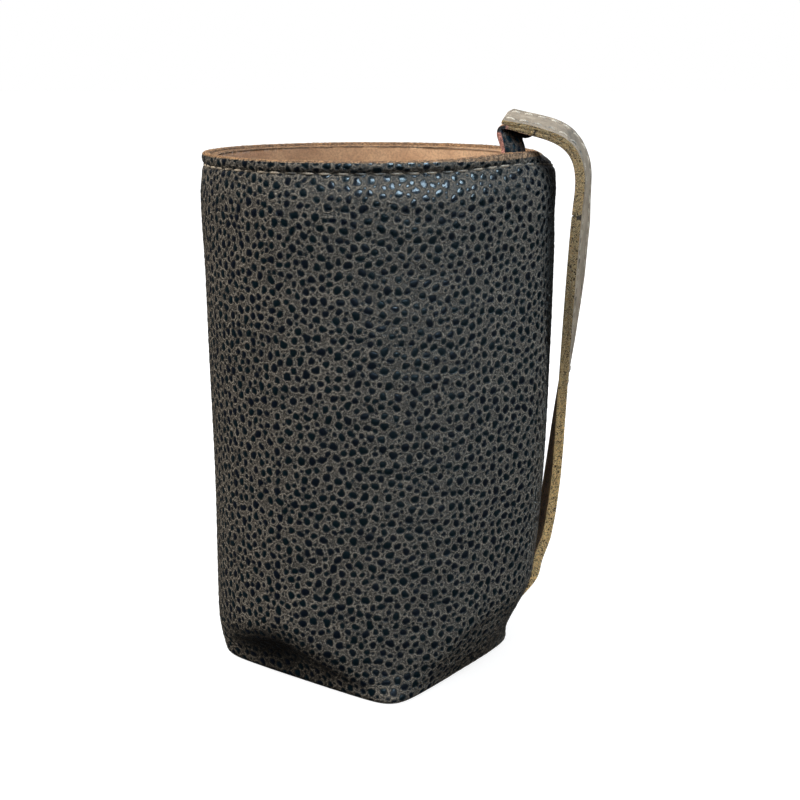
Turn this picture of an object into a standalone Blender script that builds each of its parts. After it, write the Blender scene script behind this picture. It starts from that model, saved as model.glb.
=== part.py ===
# Can cooler sleeve: a leather cup for one 330 ml drinks can, 66 mm across and 122 mm tall,
# with a leather strap standing off its right side.
# Metres, +Z up. The sleeve rests on its base at the origin and opens upward.
# The strap is on the +X side. The photographed front faces -Y.

from math import asin, cos, pi, radians, sin

import bmesh
import bpy
import numpy as np
from mathutils import Vector

# Sleeve sizes
HEIGHT = 0.1206  # base to rim, at the front
BODY_RADIUS = 0.0384  # outside of the round wall near the rim
FOOT_RADIUS = 0.0370  # outside of the round wall near the base
SIDE_BULGE = 0.0044  # how far the strap side stands out beyond the round wall
BULGE_AZIMUTH = radians(-3.0)
BULGE_HALF_WIDTH = radians(31.0)
SIDE_TUCK = 0.0048  # how far the strap side draws in again at the base
SHOULDER = 0.0042  # inward lean of the strap side at the rim
SHOULDER_DROP = 0.0062
RIM_LIFT = 0.0010
SHELL_THICKNESS = 0.0017
LINING_THICKNESS = 0.0015
CLEARANCE = 0.0003

# Folded base: a square with four soft corners under a round wall
CORNER_RADII = (0.0386, 0.0344, 0.0364, 0.0368)
FIRST_CORNER = radians(-82.0)
CORNER_SHARPNESS = 14.0
CREASE_AT_CORNER = 0.0030
CREASE_BETWEEN = 0.0130
FOLD_SOFTNESS = 0.0032

# Strap sizes
STRAP_WIDTH = 0.0155
STRAP_SKIN = 0.00125  # thickness of each of its two layers
STRAP_RISE = 0.0069  # height of its middle over the rim
STRAP_STANDOFF = 0.0038  # middle of the strap to the side of the sleeve, at the bend
MIDDLE_STANDOFF = 0.0037  # the same at the middle of its fall
STRAP_REACH = 0.0172  # length of the part that lies over the rim, measured along X
STRAP_DROP = 0.0150  # height of the bend
MIDDLE_HEIGHT = 0.0500
STRAP_NEAR_TOP = -0.0220  # where the near edge is at the top, along Y
STRAP_NEAR_FOOT = -0.0042
TURN_AT_END = radians(20.0)
TURN_AT_BEND = radians(12.5)
TURN_AT_FOOT = radians(4.0)
FOOT_END = 0.0125  # heights between which the strap is sewn to the wall
FOOT_TOP = 0.0200
SEAT_DEPTH = 0.0012  # the wall gives way this much under the sewn end
JOINT_DROP = 0.0130  # rim to the joint between the two inner strips
TAB_TUCK = 0.0070  # length of the tab held between the shell and the lining
TAB_AZIMUTH = radians(-25.0)
UNDER_LAP = 0.0030  # strap end to where the tab meets its underside

AROUND = 60
ACROSS = 6


def clear_scene():
    for item in list(bpy.data.objects):
        bpy.data.objects.remove(item, do_unlink=True)


def leather(name, colour, roughness):
    material = bpy.data.materials.new(name)
    material.use_nodes = True
    shader = material.node_tree.nodes["Principled BSDF"]
    shader.inputs["Base Color"].default_value = (*colour, 1.0)
    shader.inputs["Roughness"].default_value = roughness
    shader.inputs["Metallic"].default_value = 0.0
    return material


def ease(low, high, value):
    t = np.clip((np.asarray(value, dtype=float) - low) / (high - low), 0.0, 1.0)
    return t * t * (3.0 - 2.0 * t)


def angle_from(azimuth, centre):
    return (azimuth - centre + pi) % (2.0 * pi) - pi


def mound(azimuth, centre, half_width):
    return np.exp(-((angle_from(azimuth, centre) / half_width) ** 2))


def rim_height(azimuth):
    return HEIGHT + RIM_LIFT * mound(azimuth, TAB_AZIMUTH, radians(22.0))


def wall_radius(azimuth, z):
    """Outside radius of the wall at an azimuth and a height."""
    round_wall = FOOT_RADIUS + (BODY_RADIUS - FOOT_RADIUS) * ease(0.15 * HEIGHT, 0.95 * HEIGHT, z)
    plan = 1.0 / (1.0 + (np.abs(angle_from(azimuth, BULGE_AZIMUTH)) / BULGE_HALF_WIDTH) ** 6)
    bulge = SIDE_BULGE * ease(-0.16 * HEIGHT, 0.54 * HEIGHT, z)
    tuck = SIDE_TUCK * (1.0 - ease(0.05 * HEIGHT, 0.18 * HEIGHT, z))
    shoulder = SHOULDER * ease(HEIGHT - SHOULDER_DROP, HEIGHT, z) ** 2
    lean = mound(azimuth, radians(-4.0), radians(20.0))
    seat = SEAT_DEPTH * mound(azimuth, radians(9.0), radians(13.0))
    sewn = np.exp(-(((z - 0.5 * (FOOT_END + FOOT_TOP)) / 0.009) ** 2))
    return round_wall + plan * (bulge - tuck) - shoulder * lean - seat * sewn


def pocket(azimuth, z):
    """Extra inward step of the lining that makes room for the tab."""
    half = 0.5 * STRAP_WIDTH / BODY_RADIUS
    off = np.abs(angle_from(azimuth, TAB_AZIMUTH))
    across = 1.0 - ease(half + radians(5.0), half + radians(11.0), off)
    up = ease(HEIGHT - TAB_TUCK - 0.006, HEIGHT - TAB_TUCK - 0.002, z)
    return (STRAP_SKIN + CLEARANCE) * across * up


def base_edge(azimuth):
    """Radius of the square base's outline, with rounded corners."""
    grow = 2.0 ** (1.0 / CORNER_SHARPNESS)
    corners = []
    for index, radius in enumerate(CORNER_RADII):
        turn = FIRST_CORNER + 0.5 * pi * index
        corners.append(radius * grow * np.array((cos(turn), sin(turn))))
    total = 0.0
    for index, start in enumerate(corners):
        along = corners[(index + 1) % 4] - start
        normal = np.array((along[1], -along[0])) / np.hypot(*along)
        reach = normal @ start
        facing = np.clip((np.cos(azimuth) * normal[0] + np.sin(azimuth) * normal[1]) / reach, 0.0, None)
        total = total + facing**CORNER_SHARPNESS
    return total ** (-1.0 / CORNER_SHARPNESS)


def between_corners(azimuth):
    """0 at the base's corners and 1 halfway between them."""
    return np.abs(np.sin(2.0 * (azimuth - FIRST_CORNER)))


def turn_points(start, corner, end, steps):
    points = []
    for step in range(steps):
        t = step / (steps - 1)
        points.append((1 - t) ** 2 * start + 2 * t * (1 - t) * corner + t * t * end)
    return points


def toward(origin, target, distance):
    gap = target - origin
    length = np.linalg.norm(gap, axis=0)
    return origin + gap * np.minimum(distance, 0.42 * length) / length


def shoulder_depths():
    """Depths below the rim of the rows that follow the shoulder's curve."""
    return [SHOULDER_DROP * (1.0 - step / 8) for step in range(9)]


def section(azimuth, inset, extra):
    """Rows of (r, z) at one inset from the outside, from the middle of the base up to the rim."""
    straight = between_corners(azimuth)
    edge = np.array((base_edge(azimuth) - inset * (1.0 - 0.59 * straight), inset + 0.0 * azimuth))
    crease_z = CREASE_AT_CORNER + (CREASE_BETWEEN - CREASE_AT_CORNER) * straight**1.3 + 0.41 * inset
    crease_z = np.maximum(crease_z, inset + 0.0022)
    crease = np.array((wall_radius(azimuth, crease_z) - inset, crease_z))
    rim_z = rim_height(azimuth)
    above_z = np.minimum(crease_z + FOLD_SOFTNESS, rim_z)
    above = np.array((wall_radius(azimuth, above_z) - inset, above_z))
    inner = np.array((0.0 * azimuth, inset + 0.0 * azimuth))
    softness = 0.5 * FOLD_SOFTNESS

    rows = [edge * np.array([[share], [1.0]]) for share in (0.3, 0.65)]
    rows += turn_points(toward(edge, inner, softness), edge, toward(edge, crease, softness), 4)
    rows += [0.5 * (edge + crease)]
    rows += turn_points(toward(crease, edge, FOLD_SOFTNESS), crease, above, 4)
    waist_z = np.maximum(0.26 * HEIGHT, above_z)
    levels = [above_z + (waist_z - above_z) * row / 6 for row in range(1, 6)]
    levels += [waist_z + (rim_z - SHOULDER_DROP - waist_z) * row / 6 for row in range(6)]
    levels += [rim_z - depth for depth in shoulder_depths()]
    for z in levels:
        rows.append(np.array((wall_radius(azimuth, z) - inset - extra(azimuth, z), z)))
    return rows


def cup(name, outer_inset, thickness, extra, drop, material):
    """A closed cup with an outer and an inner face, both made of rings round the axis."""
    azimuth = np.arange(AROUND) * 2.0 * pi / AROUND
    outside = section(azimuth, outer_inset, extra)
    inside = section(azimuth, outer_inset + thickness, extra)
    soft = 0.25 * thickness
    for rows in (outside, inside):
        rows[-1][1] -= drop + soft
    lip_out = outside[-1] + np.array([[-soft], [soft]])
    lip_in = inside[-1] + np.array([[soft], [soft]])
    rings = outside + [lip_out, lip_in] + inside[::-1]

    mesh = bmesh.new()
    loops = []
    for radius, height in rings:
        loops.append(
            [mesh.verts.new((r * cos(a), r * sin(a), z)) for a, r, z in zip(azimuth, radius, height)]
        )
    for lower, upper in zip(loops[:-1], loops[1:]):
        for index in range(AROUND):
            after = (index + 1) % AROUND
            mesh.faces.new((lower[index], lower[after], upper[after], upper[index]))
    for loop, inset in ((loops[0], outer_inset), (loops[-1], outer_inset + thickness)):
        centre = mesh.verts.new((0.0, 0.0, inset))
        for index in range(AROUND):
            mesh.faces.new((loop[index], loop[(index + 1) % AROUND], centre))
    return finish(name, mesh, material)


def finish(name, mesh, material):
    bmesh.ops.recalc_face_normals(mesh, faces=mesh.faces)
    data = bpy.data.meshes.new(name)
    mesh.to_mesh(data)
    mesh.free()
    for polygon in data.polygons:
        polygon.use_smooth = True
    data.set_sharp_from_angle(angle=radians(50.0))
    data.materials.append(material)
    piece = bpy.data.objects.new(name, data)
    bpy.context.scene.collection.objects.link(piece)
    return piece


def wall_x(y, z, inset):
    """X of the wall's +X side at a given Y and height, at an inset from the outside."""
    radius = BODY_RADIUS
    for _ in range(12):
        radius = float(wall_radius(asin(y / radius), z)) - inset
    return radius * cos(asin(y / radius))


def bezier(points, t):
    a, b, c, d = points
    return (1 - t) ** 3 * a + 3 * t * (1 - t) ** 2 * b + 3 * t * t * (1 - t) * c + t**3 * d


def near_edge(z):
    """Where the strap's near edge lies along Y at a height."""
    return STRAP_NEAR_TOP + (STRAP_NEAR_FOOT - STRAP_NEAR_TOP) * float(ease(HEIGHT, FOOT_TOP, z))


def strap_rows():
    """Rows of points across the strap, at the joint of its two layers, from its top end to its foot."""
    side = BODY_RADIUS + SIDE_BULGE
    bend = np.array((side + STRAP_STANDOFF, HEIGHT - 0.54 * STRAP_DROP))
    end = np.array((bend[0] - STRAP_REACH, HEIGHT + STRAP_RISE))
    middle = np.array((wall_x(near_edge(MIDDLE_HEIGHT), MIDDLE_HEIGHT, -MIDDLE_STANDOFF), MIDDLE_HEIGHT))
    offset = CLEARANCE + STRAP_SKIN + 0.5 * CLEARANCE
    foot = np.array((wall_x(STRAP_NEAR_FOOT, FOOT_TOP, 0.0) + offset, FOOT_TOP))
    over = (end, end + (0.0106, -0.0009), bend + (0.0, 0.0100), bend)
    fall = (bend, bend - (0.0012, 0.0145), middle + (0.0001, 0.0198), middle)
    close = (middle, middle - (0.00005, 0.0092), foot + (0.0020, 0.0065), foot)

    line = [bezier(over, step / 16) for step in range(16)]
    line += [bezier(fall, step / 12) for step in range(12)]
    line += [bezier(close, step / 10) for step in range(11)]
    sewn = 5
    rows = []
    for x, z in line:
        near = near_edge(z)
        turn = TURN_AT_BEND + (TURN_AT_FOOT - TURN_AT_BEND) * ease(HEIGHT, MIDDLE_HEIGHT, z)
        turn = turn + (TURN_AT_END - TURN_AT_BEND) * (1.0 - ease(end[0], bend[0] - 0.002, x))
        hug = ease(FOOT_TOP + 0.014, FOOT_TOP, z)
        tilt = 0.0009 * ease(HEIGHT, HEIGHT + STRAP_RISE, z)
        row = []
        for column in range(ACROSS + 1):
            share = column / ACROSS
            y = near + share * STRAP_WIDTH * cos(turn)
            free_x = x + share * STRAP_WIDTH * sin(turn)
            held_x = wall_x(y, z, 0.0) + offset + (x - wall_x(near, z, 0.0) - offset)
            row.append((free_x + (held_x - free_x) * hug, y, z + share * tilt))
        rows.append(row)
    for step in range(1, sewn + 1):
        z = FOOT_TOP + (FOOT_END - FOOT_TOP) * step / sewn
        row = []
        for column in range(ACROSS + 1):
            y = STRAP_NEAR_FOOT + column / ACROSS * STRAP_WIDTH * cos(TURN_AT_FOOT)
            row.append((wall_x(y, z, 0.0) + offset, y, z))
        rows.append(row)
    return np.array(rows)


def normals_of(rows):
    along = np.gradient(rows, axis=0)
    across = np.gradient(rows, axis=1)
    normal = np.cross(along, across)
    return normal / np.linalg.norm(normal, axis=2, keepdims=True)


def strip(name, low, high, material):
    """A closed strip between two matching grids of points."""
    mesh = bmesh.new()
    grids = [[[mesh.verts.new(Vector(point)) for point in row] for row in grid] for grid in (low, high)]
    rows, columns = low.shape[:2]
    for grid in grids:
        for r in range(rows - 1):
            for c in range(columns - 1):
                mesh.faces.new((grid[r][c], grid[r][c + 1], grid[r + 1][c + 1], grid[r + 1][c]))
    border = [(r, 0) for r in range(rows)] + [(rows - 1, c) for c in range(1, columns)]
    border += [(r, columns - 1) for r in range(rows - 2, -1, -1)]
    border += [(0, c) for c in range(columns - 2, 0, -1)]
    for index, (r, c) in enumerate(border):
        nr, nc = border[(index + 1) % len(border)]
        mesh.faces.new((grids[0][r][c], grids[0][nr][nc], grids[1][nr][nc], grids[1][r][c]))
    return finish(name, mesh, material)


def tab_rows(under):
    """Rows of the tab, from inside the pocket at the rim up and over to the strap's underside."""
    inset = SHELL_THICKNESS + CLEARANCE + 0.5 * STRAP_SKIN
    rows = []
    azimuths = TAB_AZIMUTH + STRAP_WIDTH / BODY_RADIUS * (np.arange(ACROSS + 1) / ACROSS - 0.5)
    tops = rim_height(azimuths)
    for depth in [TAB_TUCK] + shoulder_depths() + [-0.0006]:
        z = tops - depth
        held = wall_radius(azimuths, np.minimum(z, tops)) - inset
        rows.append(np.stack((held * np.cos(azimuths), held * np.sin(azimuths), z), axis=1))
    start = rows[-1]
    ahead = under[1] - under[0]
    ahead = ahead / np.linalg.norm(ahead, axis=1, keepdims=True)
    lean = np.array((-0.0010, 0.0, 0.0026))
    ends = (start, start + lean, under[0] - 0.0052 * ahead, under[0])
    rows += [bezier(ends, step / 12) for step in range(1, 12)]
    return np.array(rows)


clear_scene()

pebbled = leather("pebbled dark leather", (0.030, 0.034, 0.038), 0.42)
suede = leather("tan suede lining", (0.47, 0.28, 0.13), 0.85)
smooth = leather("taupe smooth leather", (0.42, 0.34, 0.27), 0.55)
under_side = leather("dark brown leather", (0.075, 0.050, 0.038), 0.6)

cup("outer_shell", 0.0, SHELL_THICKNESS, lambda a, z: 0.0 * z, 0.0, pebbled)
cup("lining", SHELL_THICKNESS + CLEARANCE, LINING_THICKNESS, pocket, 0.0004, suede)

middle_rows = strap_rows()
normals = normals_of(middle_rows)
half_gap = 0.5 * CLEARANCE
strip(
    "strap_outer",
    middle_rows + half_gap * normals,
    middle_rows + (half_gap + STRAP_SKIN) * normals,
    smooth,
)

lengths = np.linalg.norm(np.diff(middle_rows[:, 0], axis=0), axis=1)
travelled = np.concatenate(((0.0,), np.cumsum(lengths)))
first = int(np.searchsorted(travelled, UNDER_LAP))
joint = int(np.argmin(np.abs(middle_rows[:, 0, 2] - (HEIGHT - JOINT_DROP))))
centre = middle_rows - (half_gap + 0.5 * STRAP_SKIN) * normals
upper = np.concatenate((tab_rows(centre[first:]), centre[first : joint + 1]))
upper_normals = normals_of(upper)
strip(
    "strap_inner_top",
    upper - 0.5 * STRAP_SKIN * upper_normals,
    upper + 0.5 * STRAP_SKIN * upper_normals,
    under_side,
)
lower = centre[joint:].copy()
step_on = lower[1] - lower[0]
lower[0] += step_on * CLEARANCE / np.linalg.norm(step_on, axis=1, keepdims=True)
lower_normals = normals[joint:]
strip(
    "strap_inner_low",
    lower - 0.5 * STRAP_SKIN * lower_normals,
    lower + 0.5 * STRAP_SKIN * lower_normals,
    under_side,
)
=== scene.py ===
from math import asin, cos, pi, radians, sin

import bpy
import numpy as np
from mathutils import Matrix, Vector, kdtree

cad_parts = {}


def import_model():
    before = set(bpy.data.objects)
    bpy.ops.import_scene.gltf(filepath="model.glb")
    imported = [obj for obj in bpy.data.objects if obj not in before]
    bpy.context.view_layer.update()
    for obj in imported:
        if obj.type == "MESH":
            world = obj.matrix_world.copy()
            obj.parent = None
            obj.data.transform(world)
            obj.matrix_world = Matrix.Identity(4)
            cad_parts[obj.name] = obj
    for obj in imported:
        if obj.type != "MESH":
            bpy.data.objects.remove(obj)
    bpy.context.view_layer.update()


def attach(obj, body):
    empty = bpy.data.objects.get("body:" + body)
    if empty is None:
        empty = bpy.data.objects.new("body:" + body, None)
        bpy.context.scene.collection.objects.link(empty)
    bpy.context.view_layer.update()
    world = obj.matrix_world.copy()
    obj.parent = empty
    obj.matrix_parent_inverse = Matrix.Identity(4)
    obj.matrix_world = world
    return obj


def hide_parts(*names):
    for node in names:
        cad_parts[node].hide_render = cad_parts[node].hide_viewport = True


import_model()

MM = 0.001

# The form; most of these sizes are the solids' own
HEIGHT = 0.1206
BODY_RADIUS = 0.0384
FOOT_RADIUS = 0.0370
BULGE_AZIMUTH = radians(-3.0)
BULGE_HALF_WIDTH = radians(31.0)
SIDE_BULGE = 0.0044
SIDE_TUCK = 0.0045
SHOULDER = 0.0042
SHOULDER_DROP = 0.0062
SHELL = 0.0017
LINING = 0.0015
CLEARANCE = 0.0003
CORNER_RADII = (0.0391, 0.0335, 0.0364, 0.0351)
CORNER_SHARPNESS = 9.0
FIRST_CORNER = radians(-82.0)
CREASE_AT_CORNER = 0.0048
CREASE_RISE = 0.0082
FOLD_SOFTNESS = 0.0032
LINED_SOFTNESS = 0.0030
STITCH_DEPTH = 0.0027
STITCH_PITCH = 0.0038

# The strap, its two layers of one skin each, and the tab that holds it inside the rim
STRAP_WIDTH = 0.0155
SKIN = 0.00108
STRAP_NEAR_TOP = -0.0220
STRAP_SLANT = 0.0178
FOOT_TOP = 0.020
FOOT_END = 0.0118
PARED = 0.0095
JOINT_DROP = 0.0130
TAB_START = 0.0014
UNSEWN_END = 0.004
TAB_AZIMUTH = radians(-25.0)
TAB_NEAR = radians(-36.8)
TAB_FAR = radians(-26.5)

# Azimuths where the form is uneven
STRAP_SIDE = radians(-4.0)
FULL_CORNER = radians(-37.0)
FRONT = radians(-76.0)
DENT = radians(-136.0)

# Mesh sizes: points round the shell and up it, round and up the lining, from the base's middle to
# its edge, across the strap, and the step along the strap
COLUMNS = 720
BASE_ROWS = 372
LINED = 256
LINED_ROWS = 150
UNDER_STEPS = 62
WIDE = 41
STRAP_STEP = 0.00034

# Distance inside a pebble's outline, in mm, that stands for leather without pebbles
NO_PEBBLE = -2.0


def ease(low, high, value):
    t = np.clip((np.asarray(value, dtype=float) - low) / (high - low), 0.0, 1.0)
    return t * t * (3.0 - 2.0 * t)


def angle_from(azimuth, centre):
    return (azimuth - centre + pi) % (2.0 * pi) - pi


def peak(value, centre, half_width):
    return np.exp(-(((value - centre) / half_width) ** 2))


def mound(azimuth, centre, half_width):
    return peak(angle_from(azimuth, centre), 0.0, half_width)


def off_corner(azimuth):
    """0 at the base's four corners, 1 in the middle of its sides."""
    return np.abs(np.sin(2.0 * (azimuth - FIRST_CORNER)))


def no_pocket(azimuth, z):
    return 0.0 * z


def flat(grid):
    return grid.reshape(-1, grid.shape[-1])


def travelled_along(line):
    """Length from the first point of a line to each of its points."""
    steps = np.linalg.norm(np.diff(line, axis=0), axis=1)
    return np.concatenate(((0.0,), np.cumsum(steps)))


def rim_height(azimuth):
    lift = 0.0010 * mound(azimuth, radians(-31.0), radians(22.0))
    return HEIGHT + lift - 0.0007 * mound(azimuth, radians(4.0), radians(22.0))


def wall_radius(azimuth, z):
    round_wall = FOOT_RADIUS + (BODY_RADIUS - FOOT_RADIUS) * ease(0.15 * HEIGHT, 0.95 * HEIGHT, z)
    plan = 1.0 / (1.0 + (np.abs(angle_from(azimuth, BULGE_AZIMUTH)) / BULGE_HALF_WIDTH) ** 6)
    bulge = SIDE_BULGE * ease(-0.16 * HEIGHT, 0.54 * HEIGHT, z)
    tuck = SIDE_TUCK * (1.0 - ease(0.05 * HEIGHT, 0.18 * HEIGHT, z))
    shoulder = SHOULDER * ease(HEIGHT - SHOULDER_DROP, HEIGHT, z) ** 3.6
    lean = mound(azimuth, STRAP_SIDE, radians(20.0))
    drawn = 0.0011 * mound(azimuth, radians(-68.0), radians(34.0))
    drawn = drawn * ease(HEIGHT - 0.0068, HEIGHT - 0.0028, z)
    seat = 0.0012 * mound(azimuth, radians(9.0), radians(13.0))
    sewn = peak(z, 0.01625, 0.009)
    return round_wall + plan * (bulge - tuck) - shoulder * lean - drawn - seat * sewn


def soft_form(azimuth, z):
    """Slow hand-made unevenness of the leather, and the quilting at the rim."""
    below = rim_height(azimuth) - z
    wave = 0.22 * np.sin(2.0 * azimuth + 0.8 + z / 0.031) * np.sin(z / 0.019 + 1.3 * np.sin(azimuth))
    wave = wave + 0.16 * np.sin(5.0 * azimuth - z / 0.023) * np.sin(z / 0.013 + 2.0)
    wave = wave * ease(0.0, 0.018, z) * ease(0.0, 0.012, below)
    ridge = 0.35 * mound(azimuth, radians(-121.0), radians(7.0)) * ease(0.04, 0.11, z)
    pulled = 0.30 + 0.70 * mound(azimuth, FRONT, radians(42.0))
    channel = -(0.30 + 0.44 * pulled) * peak(below, STITCH_DEPTH, 0.00055)
    puff = 0.42 * pulled * peak(below, 0.42 * STITCH_DEPTH, 0.0009)
    past = below - STITCH_DEPTH
    swell = (0.05 + 1.10 * pulled) * ease(0.0, 0.0064, past) * ease(0.026, 0.0068, past)
    ripple = 0.07 * mound(azimuth, radians(-72.0), radians(34.0)) * ease(0.004, 0.009, below)
    wave = wave + ripple * np.sin(z / 0.00084 + 1.6 * np.sin(4.0 * azimuth) + 2.0 * np.sin(z / 0.011))
    ridge = ridge - 0.4 * peak(z, 0.107, 0.006) * mound(azimuth, STRAP_SIDE, radians(24.0))
    return MM * (wave + ridge + channel + puff + swell)


def pocket(azimuth, z):
    half = 0.5 * STRAP_WIDTH / BODY_RADIUS
    off = np.abs(angle_from(azimuth, TAB_AZIMUTH))
    across = 1.0 - ease(half + radians(5.0), half + radians(11.0), off)
    return (SKIN + CLEARANCE) * across * ease(HEIGHT - 0.013, HEIGHT - 0.009, z)


def base_edge(azimuth):
    grow = 2.0 ** (1.0 / CORNER_SHARPNESS)
    corners = []
    for index, radius in enumerate(CORNER_RADII):
        turn = FIRST_CORNER + 0.5 * pi * index
        corners.append(radius * grow * np.array((cos(turn), sin(turn))))
    total = 0.0
    for index, start in enumerate(corners):
        along = corners[(index + 1) % 4] - start
        normal = np.array((along[1], -along[0])) / np.hypot(*along)
        facing = (np.cos(azimuth) * normal[0] + np.sin(azimuth) * normal[1]) / (normal @ start)
        total = total + np.clip(facing, 0.0, None) ** CORNER_SHARPNESS
    return total ** (-1.0 / CORNER_SHARPNESS)


def turn_points(start, corner, end, steps):
    shares = np.linspace(0.0, 1.0, steps)
    return [(1 - t) ** 2 * start + 2 * t * (1 - t) * corner + t * t * end for t in shares]


def toward(origin, target, distance):
    gap = target - origin
    length = np.linalg.norm(gap, axis=0)
    return origin + gap * np.minimum(distance, 0.42 * length) / length


def crease_height(azimuth):
    hump = 0.0014 * mound(azimuth, radians(-125.0), radians(12.0))
    hump = hump + 0.0045 * mound(azimuth, FULL_CORNER, radians(22.0))
    back = 0.0034 * mound(azimuth, radians(-172.0), radians(25.0))
    return CREASE_AT_CORNER + CREASE_RISE * off_corner(azimuth) ** 1.3 + back + hump


def section(azimuth, inset, extra, fold):
    """Rows of (r, z) from the edge of the flat base up to the rim."""
    straight = off_corner(azimuth)
    edge = np.array((base_edge(azimuth) - inset * (1.0 - 0.59 * straight), inset + 0.0 * azimuth))
    crease_z = np.maximum(crease_height(azimuth) + 0.41 * inset, inset + 0.0022)
    crease = np.array((wall_radius(azimuth, crease_z) - inset, crease_z))
    rim_z = rim_height(azimuth)
    above_z = np.minimum(crease_z + fold, rim_z)
    above = np.array((wall_radius(azimuth, above_z) - inset, above_z))
    inner = np.array((0.0 * azimuth, inset + 0.0 * azimuth))
    turn = (0.7 - 0.2 * straight) * fold
    rows = turn_points(toward(edge, inner, turn), edge, toward(edge, crease, turn), 10)
    first = rows[-1]
    second = toward(crease, edge, fold)
    dent = mound(azimuth, DENT, radians(27.0))
    full = 0.0018 * mound(azimuth, FULL_CORNER, radians(30.0))
    hollow = np.array(((full - 0.0011 - 0.0010 * dent) * straight**2, 0.0003 * dent * straight**2))
    rows += [first + (second - first) * t + hollow * sin(pi * t) for t in np.linspace(0.1, 0.9, 8)]
    rows += turn_points(second, crease, above, 14)
    for t in np.linspace(0.0, 1.0, 180)[1:]:
        z = above_z + (rim_z - above_z) * t
        rows.append(np.array((wall_radius(azimuth, z) - inset - extra(azimuth, z), z)))
    return np.array(rows)


def even_rows(rows, count):
    """The same section with its rows spread evenly along it, in every column."""
    lengths = np.linalg.norm(np.diff(rows, axis=0), axis=1)
    travelled = np.concatenate((np.zeros((1, rows.shape[2])), np.cumsum(lengths, axis=0)))
    wanted = np.linspace(0.0, 1.0, count)
    made = np.empty((count, 2, rows.shape[2]))
    for column in range(rows.shape[2]):
        share = travelled[:, column] / travelled[-1, column]
        for axis in range(2):
            made[:, axis, column] = np.interp(wanted, share, rows[:, axis, column])
    return made


def around_axis(azimuth, radius, z):
    return np.stack((radius * np.cos(azimuth), radius * np.sin(azimuth), z), axis=-1)


def frames(grid, wrap):
    """Unit normal and two tangents at every point of a grid; columns run round if wrap is set."""
    if wrap:
        wide = np.concatenate((grid[:, -1:], grid, grid[:, :1]), axis=1)
        across = np.gradient(wide, axis=1)[:, 1:-1]
    else:
        across = np.gradient(grid, axis=1)
    along = np.gradient(grid, axis=0)
    normal = np.cross(across, along)
    normal /= np.linalg.norm(normal, axis=-1, keepdims=True) + 1e-12
    across = across / (np.linalg.norm(across, axis=-1, keepdims=True) + 1e-12)
    return normal, across, np.cross(normal, across)


# Large, middling and small pebbles: smallest radius, largest radius, least gap, share of points tried
PEBBLES = (
    (0.00062, 0.00088, 0.00056, 0.22),
    (0.00044, 0.00064, 0.00052, 0.26),
    (0.00022, 0.00036, 0.00046, 0.14),
)
PEBBLE_CELL = 0.0027


def scatter(points, seed, share):
    """Picks pebble centres among points, and a radius for each."""
    rng = np.random.default_rng(seed)
    keys = np.floor(points / PEBBLE_CELL).astype(int)
    taken, chosen, radii = {}, [], []
    steps = [(a, b, c) for a in (-1, 0, 1) for b in (-1, 0, 1) for c in (-1, 0, 1)]
    for low, high, gap, tried in PEBBLES:
        order = rng.permutation(len(points))[: int(tried * (share * len(points)))]
        sizes_here = rng.uniform(low, high, len(order))
        for index, radius in zip(order.tolist(), sizes_here.tolist()):
            x, y, z = points[index]
            a, b, c = keys[index]
            free = True
            for da, db, dc in steps:
                for px, py, pz, other in taken.get((a + da, b + db, c + dc), ()):
                    least = radius + other + gap
                    if (x - px) ** 2 + (y - py) ** 2 + (z - pz) ** 2 < least * least:
                        free = False
                        break
                if not free:
                    break
            if free:
                taken.setdefault((a, b, c), []).append((x, y, z, radius))
                chosen.append(index)
                radii.append(radius)
    return np.array(chosen), np.array(radii)


class Grain:
    """Pebbles scattered over a surface, and their relief at any point of it."""

    def __init__(self, points, across, along, seed, share=1.0):
        at, self.radius = scatter(points, seed, share)
        rng = np.random.default_rng(seed + 1)
        count = len(at)
        self.centre, self.across, self.along = points[at], across[at], along[at]
        lobe_sizes = np.array((0.10, 0.10, 0.06, 0.06, 0.04, 0.04))
        self.lobes = rng.normal(0.0, 1.0, (count, 6)) * lobe_sizes
        self.tint = rng.uniform(0.0, 1.0, count)
        self.tree = kdtree.KDTree(count)
        for index, point in enumerate(self.centre):
            self.tree.insert(point, index)
        self.tree.balance()

    def read(self, points):
        """Distance inside the nearest pebble's outline, height of the relief, the pebble's tint, and
        how much nearer that pebble is than the next one; all but the tint in mm."""
        near = np.zeros((len(points), 3), dtype=int)
        find = self.tree.find_n
        for row, point in enumerate(points.tolist()):
            near[row] = [hit[1] for hit in find(point, 3)]
        best = np.full(len(points), -9.0)
        next_best = best.copy()
        height = np.zeros(len(points))
        tint = np.zeros(len(points))
        for pick in range(3):
            which = near[:, pick]
            gap = points - self.centre[which]
            u = (gap * self.across[which]).sum(1)
            v = (gap * self.along[which]).sum(1)
            far = np.linalg.norm(gap, axis=1)
            turn = np.arctan2(v, u)
            lobes = self.lobes[which]
            outline = 1.0
            for order, (a, b) in enumerate(((0, 1), (2, 3), (4, 5)), start=2):
                outline = outline + lobes[:, a] * np.cos(order * turn)
                outline = outline + lobes[:, b] * np.sin(order * turn)
            reach = self.radius[which] * outline
            inside = (reach - far) / MM
            spread_out = np.clip(far / reach, 0.0, 1.0)
            dome = (0.02 + 0.12 * self.radius[which] / MM) * (1.0 - spread_out**2.8)
            closer = inside > best
            next_best = np.where(closer, best, np.maximum(next_best, inside))
            best = np.where(closer, inside, best)
            tint = np.where(closer, self.tint[which], tint)
            height = np.maximum(height, dome)
        # A moat round each pebble and two ridges beyond it: height, place and width in mm
        for size, place, width in ((-0.06, -0.10, 0.12), (0.07, -0.34, 0.13), (0.03, -0.70, 0.13)):
            height = height + size * peak(best, place, width)
        return best, height, tint, best - next_best


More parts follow.
